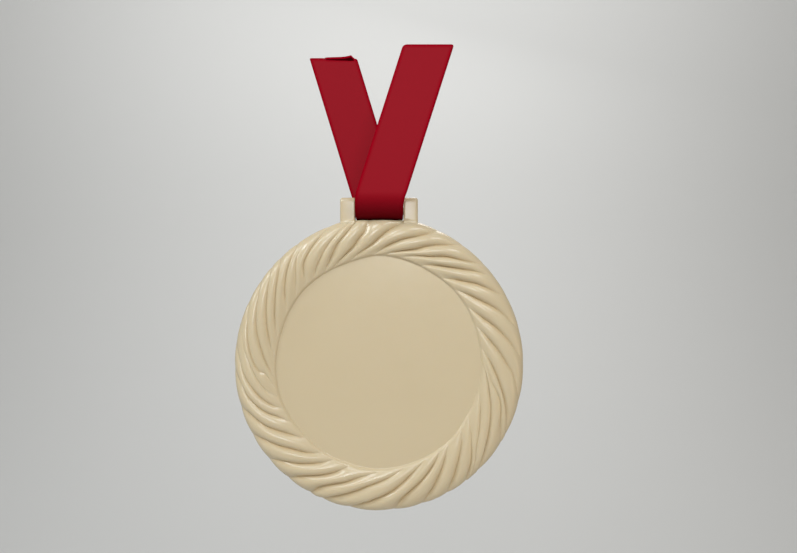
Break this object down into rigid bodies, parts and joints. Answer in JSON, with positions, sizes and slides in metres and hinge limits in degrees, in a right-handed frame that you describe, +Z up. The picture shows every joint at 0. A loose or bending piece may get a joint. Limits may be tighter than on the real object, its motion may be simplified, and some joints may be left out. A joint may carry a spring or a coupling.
{
  "type": "blank medal on ribbon",
  "caption": "Round cream medal with a bare sunk field, a border of sweeping ribs and two lugs, hung on a red ribbon that parts in a V.",
  "frame": {"origin": "middle of the cut top end of the ribbon's front strand, where it is sewn or pinned to hang", "axes": "+Z up along the hanging medal, the medal's face looks along -Y, +X to the viewer's right"},
  "size_m": [0.0596, 0.0106, 0.0957],
  "materials": {
    "cast_cream": "cream cast resin with a soft satin gloss",
    "bar_cream": "cream resin rod, satin",
    "red_ribbon": "woven satin ribbon, deep red, with firm edges"
  },
  "bodies": {
    "root": {"medal_body": "cast_cream", "ribbon_bar": "bar_cream", "ribbon": "red_ribbon"}
  },
  "joints": []
}
